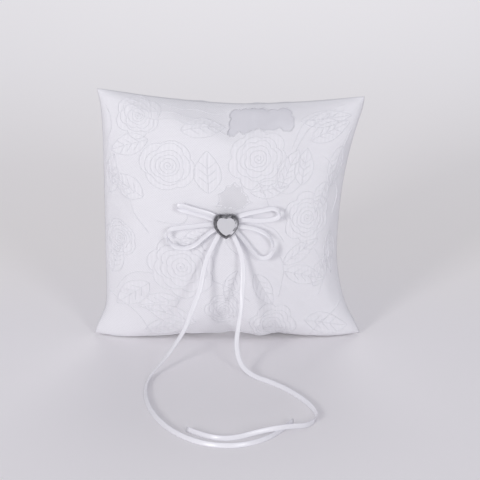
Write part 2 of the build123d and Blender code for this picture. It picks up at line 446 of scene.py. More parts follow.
left_tail_widths += [(0.8, -0.4, 0.4), (0.8, -0.1, 0.6), (0.75, 0, 0.65), (0.7, 0.1, 0.7)]
left_tail_widths += [(0.6, 0.3, 0.75), (0.4, 0.45, 0.8)]
left_tail_widths += [(0.1, 0.45, 0.9)] * (len(left_tail_route) - len(left_tail_widths))
right_tail_widths = [(1, 0, 0.1)] * 4 + [(0.9, -0.3, 0.2), (0.9, -0.2, 0.2), (0.9, 0.1, 0.3), (0.7, 0.3, 0.6)]
right_tail_widths += [(0.4, 0.5, 0.8)] * 4 + [(0.5, 0.1, 0.85)]
right_tail_widths += [(0, 0.45, 0.9)] * (len(right_tail_route) - len(right_tail_widths))
for name, node, stops, widths in (
    ("ribbon_tail_left", "tail_left", left_tail_route, left_tail_widths),
    ("ribbon_tail_right", "tail_right", right_tail_route, right_tail_widths),
):
    route = [Vector(stop) * MM for stop in stops]
    piece, line, length = ribbon_strip(name, route, widths)
    in_place(piece, "ribbon", node)
    print(name, "is", round(length * 1000), "mm long")

# %% [markdown]
# ## Stuffing the pillow
# Two flat squares are sewn together round the edge and blown up, which is what stuffing
# does to them. The Cloth modifier does it: the flat squares are the rest shape, and the
# pressure pulls the seams in, puffs the middle, and pinches the corners by itself.

# %% The flat envelope
CELLS = 72  # along each side
START_CROWN = 12 * MM
REST_SHARE = 0.02  # how much of the starting crown the flat rest shape keeps
grid_index = {}
envelope_points = []
rest_points = []
for side in (-1, 1):
    for row in range(CELLS + 1):
        for column in range(CELLS + 1):
            on_rim = row in (0, CELLS) or column in (0, CELLS)
            if side == 1 and on_rim:
                grid_index[side, column, row] = grid_index[-1, column, row]
                continue
            u, v = column / CELLS, row / CELLS
            crown = START_CROWN * math.sqrt((1 - (2 * u - 1) ** 2) * (1 - (2 * v - 1) ** 2))
            grid_index[side, column, row] = len(envelope_points)
            envelope_points.append(((u - 0.5) * CUT, side * crown, (v - 0.5) * CUT))
            rest_points.append(((u - 0.5) * CUT, side * crown * REST_SHARE, (v - 0.5) * CUT))
envelope_faces = []
for side in (-1, 1):
    for row in range(CELLS):
        for column in range(CELLS):
            corners = [(column, row), (column + 1, row), (column + 1, row + 1), (column, row + 1)]
            face = [grid_index[side, i, j] for i, j in corners]
            envelope_faces.append(face if side == -1 else face[::-1])
print("envelope of", len(envelope_points), "points")


# %% Inflate it
def inflate(piece, frames):
    """Blows the envelope up with the Cloth modifier and returns its points."""
    piece.shape_key_add(name="start")
    flat = piece.shape_key_add(name="flat")
    for number, point in enumerate(rest_points):
        flat.data[number].co = point
    flat.value = 0
    cloth = piece.modifiers.new("stuffing", "CLOTH")
    settings = cloth.settings
    settings.rest_shape_key = flat
    settings.quality = 6
    settings.mass = 0.05
    settings.tension_stiffness = settings.compression_stiffness = 25
    settings.shear_stiffness = 10
    settings.bending_stiffness = 0.15
    settings.air_damping = 3
    settings.use_pressure = True
    settings.uniform_pressure_force = 0.35
    settings.use_pressure_volume = True
    settings.target_volume = 0.00135
    settings.pressure_factor = 10
    settings.effector_weights.gravity = 0
    cloth.collision_settings.use_collision = False
    cloth.point_cache.frame_start = 1
    cloth.point_cache.frame_end = frames
    for step in range(1, frames + 1):
        bpy.context.scene.frame_set(step)
    mesh = baked(piece)
    points = points_of(mesh)
    bpy.data.meshes.remove(mesh)
    return points


envelope = mesh_piece("envelope", envelope_points, envelope_faces)
stuffed = inflate(envelope, 26)
bpy.data.objects.remove(envelope)
bpy.context.scene.frame_set(1)
print("stuffed size in mm", np.round((stuffed.max(0) - stuffed.min(0)) * 1000, 1))

# %% [markdown]
# ## Taking out the sharp wrinkles
# Thick fibre pushes small wrinkles out of real cloth. A soft average over a few cells of
# each side takes the sharp ones down and keeps the pinched corners. The depth is squared
# first, because a full edge falls off like a square root and would be thinned otherwise.

# %% Soften
SOFT_REACH = 3.2
WRINKLE_SHARE = 0.3


def soft_average(grid):
    """The grid with each point averaged with its neighbours, its edges kept in place."""
    pad = int(3 * SOFT_REACH)
    weights = np.exp(-0.5 * (np.arange(-pad, pad + 1) / SOFT_REACH) ** 2)
    weights /= weights.sum()
    for axis in (0, 1):
        spread = [(pad, pad) if i == axis else (0, 0) for i in range(grid.ndim)]
        wide = np.pad(grid, spread, mode="reflect", reflect_type="odd")
        grid = np.apply_along_axis(lambda line: np.convolve(line, weights, "valid"), axis, wide)
    return grid


cells = range(CELLS + 1)
side_ids = {side: np.array([[grid_index[side, c, r] for c in cells] for r in cells]) for side in (-1, 1)}
form = stuffed.copy()
for ids in side_ids.values():
    grid = stuffed[ids].copy()
    grid[..., 1] *= np.abs(grid[..., 1])
    grid = soft_average(grid) * (1 - WRINKLE_SHARE) + grid * WRINKLE_SHARE
    grid[..., 1] = np.sign(grid[..., 1]) * np.sqrt(np.abs(grid[..., 1]))
    form[ids] = grid
print("softened size in mm", np.round((form.max(0) - form.min(0)) * 1000, 1))

# %% [markdown]
# ## Standing it up
# The stuffed square is set on its bottom edge inside the frame's outline. Each row is
# stretched so that the sewn edge meets the outline that the frame gives: the right edge
# is pulled in further than the left, the top sags, and the bottom corners press flat.

# %% The outline that the seam follows
RIGHT_FOOT, RIGHT_TIP = 95 * MM, 97.8 * MM
FOOT_HEIGHT, FLARE_REACH = 5 * MM, 11 * MM
TIP_DROP = 6 * MM
LEFT_PULL, RIGHT_PULL, TOP_PULL, BOTTOM_RISE = 4 * MM, 17 * MM, 9 * MM, 5 * MM
LEFT_FLARE, RIGHT_FLARE = 7.5 * MM, 4 * MM
WAIST = 0.36  # height of the right edge's narrowest place, as a share


def foot_flare(z, most):
    """How far a foot is pressed out sideways at this height."""
    return most * math.exp(-(((z - FOOT_HEIGHT) / FLARE_REACH) ** 2))


def left_edge(z):
    return -half_width + LEFT_PULL * (1 - abs(2 * z / top_z - 1) ** 8) - foot_flare(z, LEFT_FLARE)


def right_edge(z):
    share = z / (top_z - TIP_DROP)
    straight = RIGHT_FOOT + (RIGHT_TIP - RIGHT_FOOT) * share
    if share > WAIST:
        away, roundness = (share - WAIST) / (1 - WAIST), 2.2
    else:
        away, roundness = (WAIST - share) / WAIST, 1.7
    return straight - RIGHT_PULL * (1 - min(away, 1) ** roundness) + foot_flare(z, RIGHT_FLARE)


def top_edge(x):
    share = (x + half_width) / (2 * half_width)
    return top_z - TIP_DROP * share - TOP_PULL * (1 - abs(2 * share - 1) ** 1.7)


def bottom_edge(x):
    """The bottom seam: off the table in the middle, down near the feet, and up at the tips."""
    share = abs(x) / half_width
    return BOTTOM_RISE * (1 - share**2) + 0.8 * MM * share**8


def smoothed(values, reach=4):
    """The list with short waves taken out, its ends kept."""
    values = np.pad(np.array(values, float), reach, mode="reflect", reflect_type="odd")
    kernel = np.hanning(2 * reach + 3)[1:-1]
    return np.convolve(values, kernel / kernel.sum(), "valid")


# %% Fit the stuffed form to it
form[:, 2] = (form[:, 2] - form[:, 2].min()) / np.ptp(form[:, 2]) * top_z
form[:, 1] *= (back_high.y - front_low.y) / np.ptp(form[:, 1])
for edge_column, target in ((0, left_edge), (CELLS, right_edge)):
    rim = form[side_ids[-1][:, edge_column]]
    shift = smoothed([target(z) for z in rim[:, 2]]) - rim[:, 0]
    for row in cells:
        ids = np.unique([side_ids[side][row] for side in (-1, 1)])
        reach = np.clip(form[ids, 0] / rim[row, 0], 0, 1)
        form[ids, 0] += shift[row] * reach**1.5
for edge_row, target in ((CELLS, top_edge), (0, bottom_edge)):
    rim = form[side_ids[-1][edge_row]]
    shift = smoothed([target(x) for x in rim[:, 0]]) - rim[:, 2]
    for column in cells:
        ids = np.unique([side_ids[side][:, column] for side in (-1, 1)])
        reach = np.clip((form[ids, 2] - top_z / 2) / (rim[column, 2] - top_z / 2), 0, 1)
        form[ids, 2] += shift[column] * reach**1.5
print("fitted size in mm", np.round((form.max(0) - form.min(0)) * 1000, 1))

# %% Sag onto the floor
SAG, SAG_HEIGHT, SPREAD = 9 * MM, 14 * MM, 0.2
SEAM_ZONE = 7 * MM  # cloth this near to the seam plane sags less
MIDDLE_SAG = 0.15  # what the middle of the bottom sags, as a share of its feet
FLOOR_SOFTNESS, FLOOR_GAP = 0.9 * MM, 0.05 * MM
foot_share = np.clip(np.abs(form[:, 0]) / half_width, 0, 1)
bulge = np.clip(np.abs(form[:, 1]) / SEAM_ZONE, 0, 1)
near_floor = np.exp(-((form[:, 2] / SAG_HEIGHT) ** 2))
form[:, 2] -= SAG * near_floor * bulge * (MIDDLE_SAG + (1 - MIDDLE_SAG) * foot_share)
form[:, 1] *= 1 + SPREAD * near_floor
form[:, 2] = FLOOR_SOFTNESS * np.log1p(np.exp(form[:, 2] / FLOOR_SOFTNESS)) + FLOOR_GAP
form[:, 1] += seam_y

# %% [markdown]
# ## Creases where the sides are pulled
# The right edge is pulled in hard, so short soft creases run in from it. The cloth is
# also drawn in a little where the bow is sewn through.

# %% Creases and the tie-down
flat_mm = np.array(rest_points)[:, [0, 2]] / MM
creases = [  # both ends on the flat cut, then width and depth, all in mm
    (56, 51, 82, 47, 3.2, 1.5),
    (58, -16, 84, -25, 3.0, 1.6),
    (66, 20, 86, 17, 3.0, 0.8),
    (-86, 62, -70, 58, 3.0, 0.6),
    (-84, -60, -66, -62, 3.4, 0.8),
]


def near_line(points, x0, z0, x1, z1):
    """Distance of each point from a short straight line."""
    run = np.array([x1 - x0, z1 - z0])
    share = np.clip(((points - (x0, z0)) @ run) / (run @ run), 0, 1)
    return np.linalg.norm(points - ((x0, z0) + share[:, None] * run), axis=1)


front_only = np.zeros(len(form), bool)
front_only[side_ids[-1][1:-1, 1:-1].ravel()] = True
for x0, z0, x1, z1, width, depth in creases:
    gap = near_line(flat_mm, x0, z0, x1, z1)
    valley = depth * (np.exp(-((gap / width) ** 2)) - 0.35 * np.exp(-((gap / (2.6 * width)) ** 2)))
    form[front_only, 1] += valley[front_only] * MM

TIE_REACH, TIE_DEPTH = 16 * MM, 0.9 * MM
tie_gap = np.linalg.norm(form[:, [0, 2]] - (bow.x, bow.z), axis=1)
crown_y = form[front_only, 1][np.argsort(tie_gap[front_only])[:6]].mean()
cloth_y = tab_high.y + TIE_DEPTH
tie_in = np.exp(-((tie_gap / TIE_REACH) ** 2))
form[front_only, 1] += ((cloth_y - crown_y) * tie_in)[front_only]
print("front crown was at y", round(crown_y, 4), "and is tied down to", round(cloth_y, 4))
print("box in mm", np.round(form.min(0) * 1000, 1), np.round(form.max(0) * 1000, 1))

# %% The satin cover
cover = mesh_piece("satin_cover", form, envelope_faces)
lay_flat(cover.data, "flat_cloth", np.array(rest_points)[:, [0, 2]] / CUT + 0.5)
crease = cover.data.attributes.new("crease_edge", "FLOAT", "EDGE")
rim_ids = {grid_index[-1, i, j] for i in cells for j in cells if i in (0, CELLS) or j in (0, CELLS)}
for edge in cover.data.edges:
    crease.data[edge.index].value = 0.7 if edge.vertices[0] in rim_ids and edge.vertices[1] in rim_ids else 0
is_front = cover.data.attributes.new("front", "INT", "FACE")
is_front.data.foreach_set("value", [1] * CELLS**2 + [0] * CELLS**2)
cover.data.materials.append(satin)
rounding = cover.modifiers.new("rounding", "SUBSURF")
rounding.levels = rounding.render_levels = 1
settle(cover)
in_place(cover, "satin", "front_panel", "back_panel", "fibre_filling", "seam_thread")

# %% [markdown]
# ## The lace
# The lace is a second square, laid over the front and caught in the same seam. Its sheet
# is the front of the cover, lifted by the satin's thickness. A place on it is known by
# its place on the flat cut, so motifs are drawn flat, as a lace maker draws them.

# %% Motifs, drawn on the flat cut in millimetres from its middle
ROSES = [  # centre, outer size, turn, petals
    (-37, -32, 25, 0.2, 7),
    (20, 54, 23, 0.9, 7),
    (62, 6, 20, 0.5, 6),
    (-70, 84, 17, 0.4, 6),
    (32, -80, 19, 1.1, 6),
    (-6, -66, 14, 0.0, 6),
    (-84, -14, 15, 0.7, 5),
    (-46, 47, 20, 0.3, 4),
]
LEAVES = [  # foot, direction in degrees, length, half width
    (-17, 27, 92, 33, 10),
    (38, 30, 66, 34, 8),
    (-64, 22, 150, 30, 9),
    (-62, 66, 200, 30, 8),
    (-38, 74, 12, 34, 8),
    (42, -30, 30, 36, 7),
    (44, -36, -16, 38, 8),
    (70, -52, 62, 28, 7),
    (-62, -48, 218, 36, 9),
    (-40, -60, 196, 34, 8),
    (-28, -78, 168, 40, 8),
    (56, 32, 84, 30, 8),
    (60, 68, 24, 34, 8),
    (52, 84, 4, 40, 7),
    (-14, -2, 206, 28, 6),
    (14, 28, 8, 32, 7),
    (-94, 20, 76, 34, 7),
    (-92, -44, 66, 28, 7),
    (86, -8, -84, 36, 7),
    (88, 62, 262, 34, 8),
    (4, -34, 250, 26, 6),
    (18, -36, 300, 30, 7),
    (60, -80, -14, 36, 8),
    (-66, -88, 10, 34, 7),
    (78, 34, 250, 26, 7),
]
BARE = [  # patches with open or thinner net: how bare, then outline corners
    (1.0, [
        (-2, 73), (5, 77), (12, 75), (20, 79), (28, 77), (36, 79), (44, 75), (47, 84), (44, 95), (20, 96),
        (0, 95),
    ]),
    (0.45, [(-12, 17), (-10, 27), (-4, 34), (2, 37), (8, 33), (12, 26), (16, 20), (8, 14), (-4, 14)]),
]
STEMS = [  # scrolls and swags between the motifs
    [(-80, 94), (-62, 86), (-46, 90), (-32, 84), (-17, 88), (-4, 79)],
    [(-76, 88), (-60, 80), (-46, 84), (-32, 78), (-18, 82), (-5, 74)],
    [(-52, 96), (-40, 92), (-28, 95), (-14, 90), (-4, 94)],
    [(46, 62), (50, 76), (58, 86), (72, 92), (88, 97)],
    [(49, 60), (54, 72), (61, 80), (72, 86), (86, 92)],
    [(60, 84), (68, 92), (76, 90), (70, 84), (62, 82)],
    [(40, -24), (44, -34), (41, -46), (38, -56)],
    [(20, 36), (26, 26), (30, 12), (42, 6)],
    [(-60, -6), (-70, 6), (-74, 20), (-82, 30)],
    [(-58, -40), (-70, -38), (-82, -46), (-90, -58)],
    [(-20, -40), (-8, -44), (2, -50), (14, -58)],
    [(78, 20), (84, 34), (82, 48), (74, 54)],
    [(70, -20), (80, -32), (82, -46), (74, -60)],
    [(-96, 90), (-88, 76), (-95, 62), (-88, 48), (-95, 34)],
    [(94, 76), (88, 62), (95, 48), (88, 34), (95, 20), (88, 6)],
    [(-97, -62), (-84, -68), (-70, -78), (-62, -90)],
    [(60, -96), (68, -84), (82, -80), (96, -70)],
    [(-34, 20), (-30, 8), (-38, 0), (-54, 4)],
    [(-90, -96), (-70, -94), (-50, -97), (-30, -93), (-10, -97), (10, -93), (30, -97)],
    [(-2, 8), (-6, -6), (-2, -18), (6, -22)],
    [(14, 10), (24, 2), (36, -2), (42, -12)],
    [(30, 34), (40, 24), (52, 28), (58, 36)],
]
print(len(ROSES), "roses,", len(LEAVES), "leaves,", len(STEMS), "stems")


# %% The lines of each motif
def rose_rings(x, z, size, turn, petals):
    """Uneven petal rings round a wound heart, the outermost first."""
    uneven = np.random.default_rng(int(1000 + 7 * x + 13 * z))
    rings = []
    for share, fewer in ((1, 0), (0.8, 0), (0.62, 1), (0.45, 2), (0.3, 3)):
        count = petals - fewer
        reach = uneven.uniform(0.93, 1.07, count)
        lean = uneven.uniform(0, 6)
        steps = 14 * count
        ring = []
        for i in range(steps):
            a = 2 * math.pi * i / steps
            petal = count * i / steps
            lobe = abs(math.sin(math.pi * petal)) ** 0.7
            swell = reach[int(petal) % count] * lobe + (1 - lobe)
            r = size * share * (0.86 + 0.15 * lobe) * swell
            ring.append((x + r * math.cos(a + turn + lean), z + r * math.sin(a + turn + lean)))
        rings.append(ring + ring[:1])
    heart = []
    for i in range(26):
        a = 0.5 * i
        r = size * 0.2 * i / 25
        heart.append((x + r * math.cos(a + turn), z + r * math.sin(a + turn)))
    rings.append(heart)
    return rings


def leaf_spot(x, z, degrees, along, across):
    """A place on a leaf: along it from its foot, and across from its middle."""
    a = math.radians(degrees)
    return (x + along * math.cos(a) - across * math.sin(a), z + along * math.sin(a) + across * math.cos(a))


def leaf_outline(x, z, degrees, length, half):
    """A closed leaf from its foot to its tip and back."""
    outline = []
    for i in range(33):
        t = i / 16
        along, across = (t, 1) if t <= 1 else (2 - t, -1)
        across *= half * math.sin(math.pi * along**0.85) ** 0.9 if 0 < along < 1 else 0
        outline.append(leaf_spot(x, z, degrees, along * length, across))
    return outline


def leaf_veins(x, z, degrees, length, half):
    """The middle vein and three short ones on each side."""
    def spot(along, across):
        return leaf_spot(x, z, degrees, along, across)

    veins = [[spot(0, 0), spot(length * 0.5, 0), spot(length * 0.94, 0)]]
    for share in (0.22, 0.4, 0.58):
        for side in (-1, 1):
            veins.append([spot(length * share, 0), spot(length * (share + 0.16), side * half * 0.62)])
    return veins


def scallops(corners, bump=1.6, pitch=7.0):
    """A closed line with small outward bumps along each run."""
    line = []
    for (x0, z0), (x1, z1) in zip(corners, corners[1:] + corners[:1]):
        run = math.dist((x0, z0), (x1, z1))
        ahead_x, ahead_z = (x1 - x0) / run, (z1 - z0) / run
        count = max(1, round(run / pitch))
        for i in range(6 * count):
            t = i / (6 * count)
            out = bump * abs(math.sin(math.pi * t * count))
            line.append((x0 + (x1 - x0) * t + ahead_z * out, z0 + (z1 - z0) * t - ahead_x * out))
    return line + line[:1]


cord_lines = []
for rose in ROSES:
    cord_lines += rose_rings(*rose)
for leaf in LEAVES:
    cord_lines += [leaf_outline(*leaf)] + leaf_veins(*leaf)
for _, corners in BARE:
    cord_lines.append(scallops(corners))
for stem in STEMS:
    smooth = spline_samples([(x, 0, z) for x, z in stem], 8)
    cord_lines.append([(p[0], p[2]) for p in smooth])
print(len(cord_lines), "cord lines")


# %% Which parts of the net are worked solid, and which are bare
def inside(points, outline):
    """True for each point that lies inside the closed outline."""
    hit = np.zeros(len(points), bool)
    x, z = points[:, 0], points[:, 1]
    for (x0, z0), (x1, z1) in zip(outline, outline[1:] + outline[:1]):
        if z0 == z1:
            continue
        crosses = (z0 > z) != (z1 > z)
        hit ^= crosses & (x < (x1 - x0) * (z - z0) / (z1 - z0) + x0)
    return hit


LACE_LIFT, LACE_FLOOR_GAP, LACE_THICKNESS = 0.35 * MM, 0.25 * MM, 0.2 * MM
lace_sheet = linked("lace_overlay_sheet", cover.data.copy())
shell = bmesh.new()
shell.from_mesh(lace_sheet.data)
front_layer = shell.faces.layers.int["front"]
bmesh.ops.delete(shell, geom=[f for f in shell.faces if not f[front_layer]], context="FACES")
shell.to_mesh(lace_sheet.data)
shell.free()
lace_points = points_of(lace_sheet.data)
normals = np.empty(lace_points.size, np.float32)
lace_sheet.data.vertices.foreach_get("normal", normals)
lace_points += normals.reshape(-1, 3) * LACE_LIFT
lace_points[:, 2] = np.maximum(lace_points[:, 2], LACE_FLOOR_GAP)
move_points(lace_sheet.data, lace_points)
uv_layer = lace_sheet.data.uv_layers["flat_cloth"]
spot_of = np.zeros((len(lace_points), 2))
for loop in lace_sheet.data.loops:
    spot_of[loop.vertex_index] = uv_layer.data[loop.index].uv
spot_of = (spot_of - 0.5) * CUT_MM
worked = np.zeros(len(spot_of), bool)
for rose in ROSES:
    worked |= inside(spot_of, rose_rings(*rose)[0])
for leaf in LEAVES:
    worked |= inside(spot_of, leaf_outline(*leaf))
bare = np.zeros(len(spot_of))
for share, corners in BARE:
    bare[inside(spot_of, scallops(corners)) & ~worked] = share
for name, mask in (("motif", worked), ("bare", bare)):
    layer = lace_sheet.data.attributes.new(name, "FLOAT", "POINT")
    layer.data.foreach_set("value", mask.astype(np.float32))
lace_sheet.data.materials.clear()
lace_sheet.data.materials.append(lace)
print("worked share", round(float(worked.mean()), 2), "bare share", round(float(bare.mean()), 2))

# %% [markdown]
# ## Cording
# Corded lace has a thicker thread couched down along each motif's edge. The lines are
# drawn on the flat cut as curves, and a Geometry Nodes tree carries each of their points
# onto the lace through the cut's own coordinates, then gives the lines their thickness.

# %% The flat drawing
HEM = 0.6  # mm of the cut's edge that stays clear of cords
cord_curve = bpy.data.curves.new("cord_drawing", "CURVE")
cord_curve.dimensions = "3D"
for line in cord_lines:
    line = [p for p in line if max(abs(p[0]), abs(p[1])) < CUT_MM / 2 - HEM]
    if len(line) < 2:
        continue
    spline = cord_curve.splines.new("POLY")
    spline.points.add(len(line) - 1)
    for knot, (x, z) in zip(spline.points, line):
        knot.co = (x / CUT_MM + 0.5, z / CUT_MM + 0.5, 0, 1)
lace_cords = linked("lace_cords", cord_curve)


# %% Geometry Nodes helpers
class Recipe:
    """A Geometry Nodes tree with named inputs, built a node at a time."""

    def __init__(self, name, inputs):
        self.tree = bpy.data.node_groups.new(name, "GeometryNodeTree")
        self.tree.interface.new_socket("Geometry", in_out="INPUT", socket_type="NodeSocketGeometry")
        self.sockets = {}
        for title, (kind, default) in inputs.items():
            socket = self.tree.interface.new_socket(title, in_out="INPUT", socket_type=kind)
            if default is not None:
                socket.default_value = default
            self.sockets[title] = socket.identifier
        self.tree.interface.new_socket("Geometry", in_out="OUTPUT", socket_type="NodeSocketGeometry")
        self.given = self.tree.nodes.new("NodeGroupInput")
        self.result = self.tree.nodes.new("NodeGroupOutput")

    def add(self, kind, settings=None, values=None, output=0):
        """Adds a node and returns one of its outputs."""
        return added(self.tree, kind, settings, values).outputs[output]

    def maths(self, operation, first, second):
        return self.add("ShaderNodeMath", {"operation": operation}, {0: first, 1: second})

    def thread_along(self, curve, width, sides):
        """A round thread of this width along a curve."""
        circle = self.add(
            "GeometryNodeCurvePrimitiveCircle", {},
            {"Resolution": sides, "Radius": self.maths("DIVIDE", width, 2.0)},
        )
        return self.add(
            "GeometryNodeCurveToMesh", {},
            {"Curve": curve, "Profile Curve": circle, "Fill Caps": True},
        )

    def finish_with(self, geometry, material):
        """Realize Instances and Set Material, then the output."""
        real = self.add("GeometryNodeRealizeInstances", {}, {"Geometry": geometry})
        coated = self.add("GeometryNodeSetMaterial", {}, {"Geometry": real, "Material": material})
        self.tree.links.new(coated, self.result.inputs[0])

    def run_on(self, piece, values):
        """Runs the tree on the piece and leaves a plain mesh object of the same name."""
        modifier = piece.modifiers.new(self.tree.name, "NODES")
        modifier.node_group = self.tree
        for title, value in values.items():
            modifier[self.sockets[title]] = value
        bpy.context.view_layer.update()
        mesh = baked(piece)
        name = piece.name
        bpy.data.objects.remove(piece)
        made = linked(name, mesh)
        mesh.polygons.foreach_set("use_smooth", [True] * len(mesh.polygons))
        mesh.update()
        return made


# %% Carry the cords onto the lace
recipe = Recipe("cording", {
    "Lace": ("NodeSocketObject", None),
    "Cord Width": ("NodeSocketFloat", 0.5 * MM),
    "Point Spacing": ("NodeSocketFloat", 1.5 / CUT_MM),
    "Sides": ("NodeSocketInt", 5),
})
CORD_LIFT = 0.25 * MM
given = recipe.given.outputs
cloth = recipe.add(
    "GeometryNodeObjectInfo", {"transform_space": "ORIGINAL"}, {"Object": given["Lace"]}, output="Geometry",
)
evened = recipe.add(
    "GeometryNodeResampleCurve", {"mode": "LENGTH"},
    {"Curve": given["Geometry"], "Length": given["Point Spacing"]},
)
where = recipe.add("GeometryNodeInputPosition")
cut_place = recipe.add(
    "GeometryNodeInputNamedAttribute", {"data_type": "FLOAT_VECTOR"}, {"Name": "flat_cloth"},
)


def read_from_lace(value):
    return recipe.add("GeometryNodeSampleUVSurface", {"data_type": "FLOAT_VECTOR"}, {
        "Mesh": cloth, "Value": value, "Source UV Map": cut_place, "Sample UV": where,
    })


placed = read_from_lace(where)
upright = read_from_lace(recipe.add("GeometryNodeInputNormal"))
lift = recipe.add("ShaderNodeVectorMath", {"operation": "SCALE"}, {0: upright, "Scale": CORD_LIFT})
raised = recipe.add("ShaderNodeVectorMath", {"operation": "ADD"}, {0: placed, 1: lift})
couched = recipe.add("GeometryNodeSetPosition", {}, {"Geometry": evened, "Position": raised})
recipe.finish_with(recipe.thread_along(couched, given["Cord Width"], given["Sides"]), thread)
lace_cords = recipe.run_on(lace_cords, {
    "Lace": lace_sheet, "Cord Width": 0.5 * MM, "Point Spacing": 1.5 / CUT_MM, "Sides": 5,
})
in_place(lace_cords, "lace")

body = lace_sheet.modifiers.new("thickness", "SOLIDIFY")
body.thickness = LACE_THICKNESS
body.offset = 0
settle(lace_sheet)
in_place(lace_sheet, "lace", "lace_overlay")

# %% [markdown]
# ## The bow
# Four folded loops of the same ribbon are gathered under the stone. Each loop is one
# strip: out along one strand, round the tip, and back. The strip leans, so that some of
# its face shows, as a loop that has been handled does.

# %% Loops, each from the gathered root round to the root again
# Places are in mm from the bow's middle: across, in front of the tab, up. Then the lean in degrees.
loop_routes = {
    "bow_loop_upper_left": ([
        (-3, 2.4, 3), (-9, 2.8, 7.4), (-17, 3.2, 10.2), (-26, 3.2, 12.8), (-33, 3, 15.2), (-36.6, 2.6, 13.8),
        (-33.5, 2.4, 11.2), (-26, 2.4, 9.2), (-17, 2.4, 6.6), (-9, 2.4, 4), (-3, 2.2, 1.6),
    ], 60),
    "bow_loop_lower_left": ([
        (-3, 2.4, 0.2), (-10, 2.8, 0.5), (-22, 3, -1), (-34, 2.8, -2.4), (-42, 2.6, -3.6),
        (-44.5, 2.6, -9.5), (-40, 2.6, -16.5), (-32, 2.6, -19.5), (-23, 2.6, -16.5), (-15, 2.6, -8.5),
        (-9, 2.4, -4), (-3, 2.2, -1),
    ], 54),
    "bow_loop_upper_right": ([
        (3, 2.4, 3.4), (10, 2.8, 7), (18, 3.2, 9.4), (27, 3.2, 11), (35, 3, 13.2), (40.5, 2.8, 9.4),
        (38, 2.6, 4.6), (30, 2.4, 3), (21, 2.4, 2.8), (11, 2.4, 3.8), (3, 2.2, 2.6),
    ], 58),
    "bow_loop_lower_right": ([
        (3, 2.4, -0.8), (10, 2.8, -1.2), (18, 3, -2.4), (26, 3, -4.8), (33, 2.8, -10), (36, 2.6, -18),
        (32, 2.6, -26), (24.5, 2.6, -27), (19, 2.6, -20.5), (13, 2.6, -12), (8, 2.4, -5.5), (3, 2.2, -1.4),
    ], 56),
}
for name, (stops, lean) in loop_routes.items():
    turn = math.radians(lean)
    route = [Vector((bow.x + x * MM, tab_low.y - depth * MM, bow.z + z * MM)) for x, depth, z in stops]
    widths = [(0.08 * math.sin(i), math.cos(turn), math.sin(turn)) for i in range(len(route))]
    piece, _, length = ribbon_strip(name + "_ribbon", route, widths, 8)
    in_place(piece, "ribbon", name)
    print(name, "takes", round(length * 1000), "mm of ribbon")

# %% [markdown]
# ## Stitches
# The filling went in through a gap in the bottom seam, closed by hand. Each stitch is the
# same short loop of thread, so Geometry Nodes set one on every point of a line.

# %% Closing stitches along the bottom seam
closing_low, closing_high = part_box("closing_stitches")
bottom_rim = form[side_ids[-1][0]]
CLOSING_STITCHES, STITCH_DROP = 13, 0.15 * MM
stitch_x = np.linspace(closing_low.x, closing_high.x, CLOSING_STITCHES)
stitch_z = np.interp(stitch_x, bottom_rim[:, 0], bottom_rim[:, 2]) - STITCH_DROP
rim_spots = [(x, seam_y, z) for x, z in zip(stitch_x, stitch_z)]
stitch_line = mesh_piece("closing_stitch_line", rim_spots, [])
recipe = Recipe("stitches", {
    "Stitch Length": ("NodeSocketFloat", 1.8 * MM),
    "Thread Width": ("NodeSocketFloat", 0.4 * MM),
    "Lean": ("NodeSocketFloat", 0.5),
    "Seed": ("NodeSocketInt", 4),
})
given = recipe.given.outputs
start = recipe.add("ShaderNodeCombineXYZ", {}, {1: recipe.maths("MULTIPLY", given["Stitch Length"], -0.5)})
middle = recipe.add("ShaderNodeCombineXYZ", {}, {2: recipe.maths("MULTIPLY", given["Thread Width"], -1.2)})
end = recipe.add("ShaderNodeCombineXYZ", {}, {1: recipe.maths("MULTIPLY", given["Stitch Length"], 0.5)})
thread_arc = recipe.add("GeometryNodeCurveQuadraticBezier", {}, {
    "Resolution": 8, "Start": start, "Middle": middle, "End": end,
})
stitch = recipe.thread_along(thread_arc, given["Thread Width"], 6)
seeded = {2: 0.6, 3: 1.0, "Seed": given["Seed"]}
uneven = recipe.add("FunctionNodeRandomValue", {"data_type": "FLOAT"}, seeded, output=1)
slant = recipe.maths("MULTIPLY", uneven, given["Lean"])
turned = recipe.add("ShaderNodeCombineXYZ", {}, {2: slant})
sewn = recipe.add("GeometryNodeInstanceOnPoints", {}, {
    "Points": given["Geometry"], "Instance": stitch, "Rotation": turned,
})
recipe.finish_with(sewn, thread)
stitch_line.name = "closing_stitch_thread"
stitch_line = recipe.run_on(stitch_line, {
    "Stitch Length": 1.8 * MM, "Thread Width": 0.4 * MM, "Lean": 0.5, "Seed": 4,
})
in_place(stitch_line, "thread", "closing_stitches")

# %% [markdown]
# ## The stone and its setting
# The stone is a faceted heart with a mirror foil behind it. Foil throws light back
# through one facet and not through the next, so neighbouring facets are pale, grey or
# nearly black. Each facet's colour holds that as a painted reflection, and the coat gives the gloss on top.

# %% Stone outline
stone_middle = (stone_low + stone_high) / 2
stone_width = stone_high.x - stone_low.x
stone_height = stone_high.z - stone_low.z
HEART_RIGHT = [
    (0, 0.425), (0.12, 0.463), (0.27, 0.47), (0.4, 0.405), (0.48, 0.27), (0.5, 0.1),
    (0.455, -0.09), (0.33, -0.28), (0.17, -0.44), (0, -0.53),
]
heart = HEART_RIGHT + [(-x, z) for x, z in HEART_RIGHT[-2:0:-1]]
heart_z = stone_low.z - HEART_RIGHT[-1][1] * stone_height  # the outline's middle height


def heart_ring(size, depth, between=False, rise=0.0):
    """The heart at a share of its size, this far in front of the stone's back."""
    corners = heart
    if between:
        corners = [((a[0] + b[0]) / 2, (a[1] + b[1]) / 2) for a, b in zip(heart, heart[1:] + heart[:1])]
    y = stone_high.y - depth * MM
    wide, high = size * stone_width, size * stone_height
    return [(stone_middle.x + x * wide, y, heart_z + rise * stone_height + z * high) for x, z in corners]


